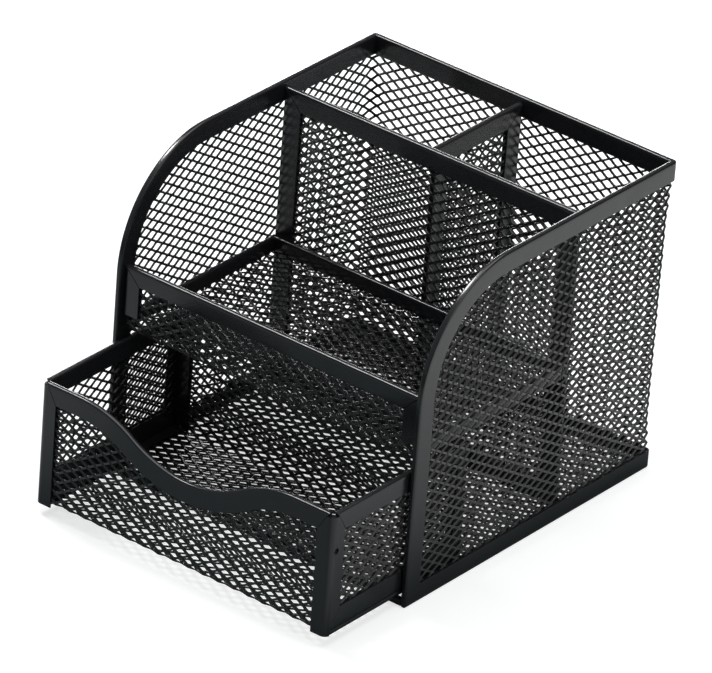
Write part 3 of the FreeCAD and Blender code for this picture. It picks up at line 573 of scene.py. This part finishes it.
def pan_sheet(profile, half_width, fold, flat_from, flat_to, side):
    """A sheet bent along a line in the fore and aft plane, whose left and right edges are folded too where
    it is level.

    Along the sheet is the distance on the line and proud is to its left. Beyond the half width less the
    fold's radius, the sheet turns through a quarter circle, up where side is 1 and down where it is -1.
    """
    def lay(points):
        spot, heading = profile(points[..., 1])
        over = np.maximum(np.abs(points[..., 0]) - (half_width - fold), 0)
        level_run = (points[..., 1] >= flat_from) & (points[..., 1] <= flat_to)
        angle = np.minimum(over / fold, pi / 2) * level_run
        rest = np.maximum(over - fold * pi / 2, 0) * level_run
        out = np.minimum(np.abs(points[..., 0]), half_width - fold) + fold * np.sin(angle)
        lift = side * (fold * (1 - np.cos(angle)) + rest)
        lift = lift + points[..., 2] * np.cos(angle)
        out = out - side * points[..., 2] * np.sin(angle)
        return np.stack([np.sign(points[..., 0]) * out, spot[..., 0] - np.sin(heading) * lift,
                         spot[..., 1] + np.cos(heading) * lift], -1)

    return lay


def straight_strip(name, body, start, end, inward, width, start_slant=0.0, end_slant=0.0):
    """A straight channel from start to end along its fold, open towards the inward direction."""
    start, end, inward = (np.asarray(line, float) for line in (start, end, inward))
    run = (end - start) / np.linalg.norm(end - start)
    face = np.tile(np.cross(inward, run), (2, 1))
    return folded_strip(f"{name}_channel", body, (start, end), (inward, inward), face, face, width,
                        start_slant, end_slant)


def inside_floor(points):
    """Above the feet of the turned-down sides."""
    return points[..., 2] >= FLOOR_SIDE_FOOT


fall = FLOOR_TOP - FLOOR_FOOT - FOLD_OUTSIDE
floor_run = INNER_REAR - SHEET / 2 - MIDDLE - 2 * TIGHT_FOLD
floor_line = bent_line((housing_front + MIDDLE, FLOOR_FOOT), pi / 2,
                       [(fall, 0), (TIGHT_FOLD * pi / 2, -pi / 2), (floor_run, 0),
                        (TIGHT_FOLD * pi / 2, -pi / 2), (fall, 0)])
fold_end = fall + TIGHT_FOLD * pi / 2
floor_sheet = pan_sheet(floor_line, INNER_SIDE - SHEET / 2, TIGHT_FOLD, fold_end, fold_end + floor_run, -1)
floor_reach = INNER_SIDE + FLOOR_SIDE_EDGE
coat_mesh(expanded_mesh("floor_mesh_sheet", floor_sheet, (-floor_reach, floor_reach), (0, floor_line.length),
                        inside_floor), "housing", "floor_mesh")

SILL_HEIGHT = 2.9 * MM
sill_middle = housing_front + MIDDLE
straight_strip("front_sill_strip", "housing", (-INNER_SIDE, sill_middle, 0), (INNER_SIDE, sill_middle, 0), Z,
               SILL_HEIGHT)


# ---- The two dividers ----
# Flat sheets of mesh between the pen bays and across them, each with channels on all four edges. The corners
# are cut obliquely and welded, and the uprights are welded to the rim and the base strip.

DIVIDER_TOP = HEIGHT - 2 * MM
DIVIDER_PLACE = 90 * MM
rise = DIVIDER_TOP - FLOOR_TOP


def everywhere(points):
    """For a flat sheet, which its own two ranges cut."""
    return np.ones(points.shape[:-1], bool)


def framed_divider(name, middle, along, half_span, proud, ends):
    """A divider in an upright plane through the middle: its sheet, then its top, foot and two upright
    channels, which are named after its ends."""
    middle, along = np.asarray(middle, float), np.asarray(along, float)
    corner = middle - along * half_span + Z * FLOOR_TOP
    coat_mesh(expanded_mesh(f"{name}_mesh_sheet", flat_sheet(corner, along, Z, proud),
                            (FOLD_WALL, 2 * half_span - FOLD_WALL), (FOLD_WALL, rise - FOLD_WALL),
                            everywhere), "housing", f"{name}_mesh")
    low, high = corner, corner + Z * rise
    across = along * 2 * half_span
    straight_strip(f"{name}_top_strip", "housing", high, high + across, -Z, RIM_WIDTH, 1, 1)
    straight_strip(f"{name}_foot_strip", "housing", low, low + across, Z, BASE_WIDTH,
                   RIM_WIDTH / BASE_WIDTH, RIM_WIDTH / BASE_WIDTH)
    straight_strip(f"{name}_{ends[0]}_strip", "housing", low, high, along, RIM_WIDTH,
                   BASE_WIDTH / RIM_WIDTH, 1)
    straight_strip(f"{name}_{ends[1]}_strip", "housing", low + across, high + across, -along, RIM_WIDTH,
                   BASE_WIDTH / RIM_WIDTH, 1)


divider_y = housing_front + DIVIDER_PLACE
framed_divider("divider", (0, divider_y, 0), X, INNER_SIDE, -Y, ("left", "right"))
cross_half = (INNER_REAR - DIVIDER_PLACE - MIDDLE) / 2
cross_middle = divider_y + MIDDLE + cross_half
framed_divider("cross_divider", (0, cross_middle, 0), Y, cross_half, X, ("front", "rear"))


# ---- The tray over the drawer ----
# One sheet of mesh: its front is bent up into a lip and its sides and rear are turned up a little. A channel
# is folded over each edge, and the lip's top strip meets its two end strips at oblique seams.

SHELF_TOP_FACE = 58 * MM
SHELF_EDGE = 64.2 * MM
SHELF_STRIP = 5.8 * MM
SHELF_SIDE_EDGE = 6 * MM
LIP_FACE, LIP_TOP, LIP_STRIP = 2.3 * MM, 84.4 * MM, 7 * MM
BEND = 3 * MM - SHEET / 2
NOTCH = 1 * MM
lip_middle = housing_front + LIP_FACE + MIDDLE
shelf_rear = housing_front + DIVIDER_PLACE - STRIP
shelf_level = SHELF_TOP_FACE - SHEET / 2
drop = LIP_TOP - FOLD_WALL - shelf_level - BEND
shelf_run = shelf_rear - lip_middle - BEND - TIGHT_FOLD
shelf_line = bent_line((lip_middle, LIP_TOP - FOLD_WALL), -pi / 2,
                       [(drop, 0), (BEND * pi / 2, pi / 2), (shelf_run, 0), (TIGHT_FOLD * pi / 2, pi / 2),
                        (SHELF_EDGE - FOLD_WALL - shelf_level - TIGHT_FOLD, 0)])
level_from = drop + BEND * pi / 2
shelf_half = WIDTH / 2 - STRIP - MIDDLE


def inside_shelf(points):
    """Under the lip's and the edges' tops; the notches in the folded corners are left out."""
    side = np.abs(points[..., 0])
    front = points[..., 1] < lip_middle + BEND
    rear = points[..., 1] > shelf_rear - NOTCH
    under = points[..., 2] < np.where(front, LIP_TOP, SHELF_EDGE) - FOLD_WALL
    return under & ~((front | rear) & (side > shelf_half))


shelf_sheet = pan_sheet(shelf_line, shelf_half, TIGHT_FOLD, level_from, level_from + shelf_run, 1)
shelf_reach = shelf_half + SHELF_SIDE_EDGE
coat_mesh(expanded_mesh("shelf_mesh_sheet", shelf_sheet, (-shelf_reach, shelf_reach), (0, shelf_line.length),
                        inside_shelf, -1), "housing", "shelf_mesh")
straight_strip("shelf_lip_strip", "housing", (-INNER_SIDE, lip_middle, LIP_TOP),
               (INNER_SIDE, lip_middle, LIP_TOP), -Z, LIP_STRIP, 1, 1)
straight_strip("shelf_rear_strip", "housing", (-INNER_SIDE, shelf_rear, SHELF_EDGE),
               (INNER_SIDE, shelf_rear, SHELF_EDGE), -Z, SHELF_STRIP)
for side, sign in (("left", -1), ("right", 1)):
    straight_strip(f"shelf_lip_{side}_strip", "housing", (sign * INNER_SIDE, lip_middle, SHELF_EDGE),
                   (sign * INNER_SIDE, lip_middle, LIP_TOP), -sign * X, LIP_STRIP, 0, 1)
    straight_strip(f"shelf_{side}_strip", "housing", (sign * shelf_half, lip_middle + BEND, SHELF_EDGE),
                   (sign * shelf_half, shelf_rear - MIDDLE, SHELF_EDGE), -Z, SHELF_STRIP)


# ---- The drawer's sheets ----
# One sheet of mesh is bent up into the drawer's front and rear, with a finger dip in the front's top edge.
# Two flat ones are its sides.

PULLED_OUT = 42 * MM
FLOOR_PLAY, SIDE_PLAY = 0.3 * MM, 0.5 * MM
DRAWER_FRONT = housing_front - PULLED_OUT
DRAWER_FOOT = FLOOR_TOP + FLOOR_PLAY
DRAWER_HEIGHT, DRAWER_LENGTH = 50 * MM, 78 * MM
DRAWER_HALF = INNER_SIDE - SIDE_PLAY
DRAWER_INNER = DRAWER_HALF - STRIP
DIP_DEPTH, DIP_HALF = 14.4 * MM, 50 * MM
TRAY_BEND = 1.2 * MM
dip_radius = (DIP_HALF**2 + DIP_DEPTH**2) / (4 * DIP_DEPTH)
drawer_top = DRAWER_FOOT + DRAWER_HEIGHT
wall = DRAWER_HEIGHT - FOLD_WALL - MIDDLE - TRAY_BEND
tray_line = bent_line((DRAWER_FRONT + MIDDLE, drawer_top - FOLD_WALL), -pi / 2,
                      [(wall, 0), (TRAY_BEND * pi / 2, pi / 2), (DRAWER_LENGTH - STRIP - 2 * TRAY_BEND, 0),
                       (TRAY_BEND * pi / 2, pi / 2), (wall, 0)])


def dip_height(across):
    """The front rim's height over its level part: nothing beyond the dip, then the crest's arc and the
    trough's."""
    side = np.abs(across)
    crest = np.sqrt(dip_radius**2 - np.clip(DIP_HALF - side, 0, DIP_HALF / 2) ** 2) - dip_radius
    trough = dip_radius - np.sqrt(dip_radius**2 - np.minimum(side, DIP_HALF / 2) ** 2) - DIP_DEPTH
    return np.where(side < DIP_HALF / 2, trough, crest)


def inside_tray(points):
    """Under the rims' tops, of which the front one follows the dip."""
    front = points[..., 1] < DRAWER_FRONT + STRIP
    top = drawer_top - FOLD_WALL + np.where(front, dip_height(points[..., 0]), 0)
    return points[..., 2] <= top


# The half width is more than the sheet has, so its sides stay flat.
tray_sheet = pan_sheet(tray_line, WIDTH, TIGHT_FOLD, 0, 0, 1)
coat_mesh(expanded_mesh("drawer_tray_mesh_sheet", tray_sheet, (-DRAWER_INNER, DRAWER_INNER),
                        (0, tray_line.length), inside_tray, -1), "drawer", "drawer_tray_mesh")
for side, sign in (("left", -1), ("right", 1)):
    corner = (sign * (DRAWER_HALF - MIDDLE), DRAWER_FRONT + STRIP, DRAWER_FOOT + STRIP)
    coat_mesh(expanded_mesh(f"drawer_{side}_mesh_sheet", flat_sheet(corner, Y, Z, -sign * X),
                            (0, DRAWER_LENGTH - 2 * STRIP), (FOLD_WALL, DRAWER_HEIGHT - STRIP - FOLD_WALL),
                            everywhere), "drawer", f"drawer_{side}_mesh")


# ---- The drawer's strips ----
# Channels on the sheets' top edges, along the feet of the sides and, lying flat, on the floor's side edges.
# The front one follows the finger dip.

POST = 7 * MM
RUNNER_WIDTH = 6 * MM
DIP_STATIONS, SHOULDER_STATIONS = 14, 4
post_slant = (POST - STRIP) / RIM_WIDTH
front_middle = DRAWER_FRONT + MIDDLE
turn = np.arcsin(DIP_HALF / 2 / dip_radius)
angle = np.linspace(0, turn, DIP_STATIONS)[1:]
crest = np.stack([-DIP_HALF + dip_radius * np.sin(angle), dip_radius * (np.cos(angle) - 1)], 1)
crest_in = np.stack([-np.sin(angle), -np.cos(angle)], 1)
swing = np.linspace(turn, 0, DIP_STATIONS)[1:]
trough = np.stack([-dip_radius * np.sin(swing), dip_radius * (1 - np.cos(swing)) - DIP_DEPTH], 1)
trough_in = np.stack([-np.sin(swing), -np.cos(swing)], 1)
level_part = np.linspace(-DRAWER_INNER, -DIP_HALF, SHOULDER_STATIONS)
shoulder = np.stack([level_part, np.zeros_like(level_part)], 1)
line = np.concatenate([shoulder, crest, trough])
inward = np.concatenate([np.tile([0.0, -1.0], (len(shoulder), 1)), crest_in, trough_in])
inward = np.stack([inward[:, 0], np.zeros(len(line)), inward[:, 1]], 1)
edge = np.stack([line[:, 0], np.full(len(line), front_middle), drawer_top + line[:, 1]], 1)
face = np.tile(-Y, (len(line), 1))
folded_strip("drawer_front_rim_strip_channel", "drawer", *with_mirror([(edge, inward, face, face)]),
             RIM_WIDTH, post_slant, post_slant)

rear_middle = DRAWER_FRONT + DRAWER_LENGTH - MIDDLE
straight_strip("drawer_rear_rim_strip", "drawer", (-DRAWER_INNER, rear_middle, drawer_top),
               (DRAWER_INNER, rear_middle, drawer_top), -Z, RIM_WIDTH, post_slant, post_slant)
front_end, rear_end = DRAWER_FRONT + STRIP, DRAWER_FRONT + DRAWER_LENGTH - STRIP
foot = DRAWER_FOOT + STRIP
for side, sign in (("left", -1), ("right", 1)):
    middle = sign * (DRAWER_HALF - MIDDLE)
    straight_strip(f"drawer_{side}_rim_strip", "drawer", (middle, front_end, drawer_top),
                   (middle, rear_end, drawer_top), -Z, RIM_WIDTH, post_slant, post_slant)
    straight_strip(f"drawer_{side}_base_strip", "drawer", (middle, front_end, foot),
                   (middle, rear_end, foot), Z, RIM_WIDTH, post_slant, post_slant)
    outer, low = sign * DRAWER_HALF, DRAWER_FOOT + MIDDLE
    straight_strip(f"drawer_{side}_runner_strip", "drawer", (outer, front_end, low), (outer, rear_end, low),
                   -sign * X, RUNNER_WIDTH)


# ---- The drawer's corner posts ----
# Each is one strip folded into an angle over the upright edges of two sheets. The right front one has a
# small hole in its side.

for side in ("left", "right"):
    for end in ("front", "rear"):
        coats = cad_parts[f"drawer_{end}_{side}_post"].data.materials
        coats.clear()
        coats.append(strip_black)
